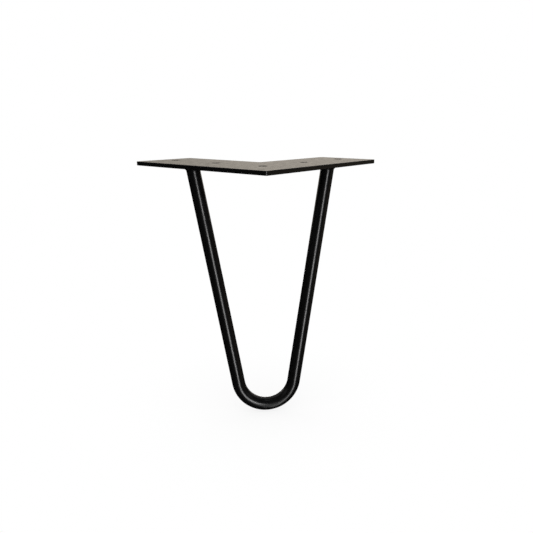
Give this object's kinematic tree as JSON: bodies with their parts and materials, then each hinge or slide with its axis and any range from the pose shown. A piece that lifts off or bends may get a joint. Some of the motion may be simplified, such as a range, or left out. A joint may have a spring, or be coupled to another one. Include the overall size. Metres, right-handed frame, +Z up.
{
  "type": "hairpin table leg",
  "caption": "Short hairpin table leg: round steel bar bent into a leaning hairpin and welded under a flat L-shaped plate with plain screw holes, in satin black powder coat.",
  "frame": {"origin": "centre of the corner screw hole on the plate's top face, the face that meets the table", "axes": "+Z up into the table top, +Y from the plate's outer corner into its notch, +X towards the right arm"},
  "size_m": [0.208, 0.1451, 0.208],
  "materials": {
    "powder_coat": "satin black powder coat on mild steel"
  },
  "bodies": {
    "root": {"top_plate": "powder_coat", "hairpin_rod": "powder_coat", "weld_left": "powder_coat", "weld_right": "powder_coat"}
  },
  "joints": []
}
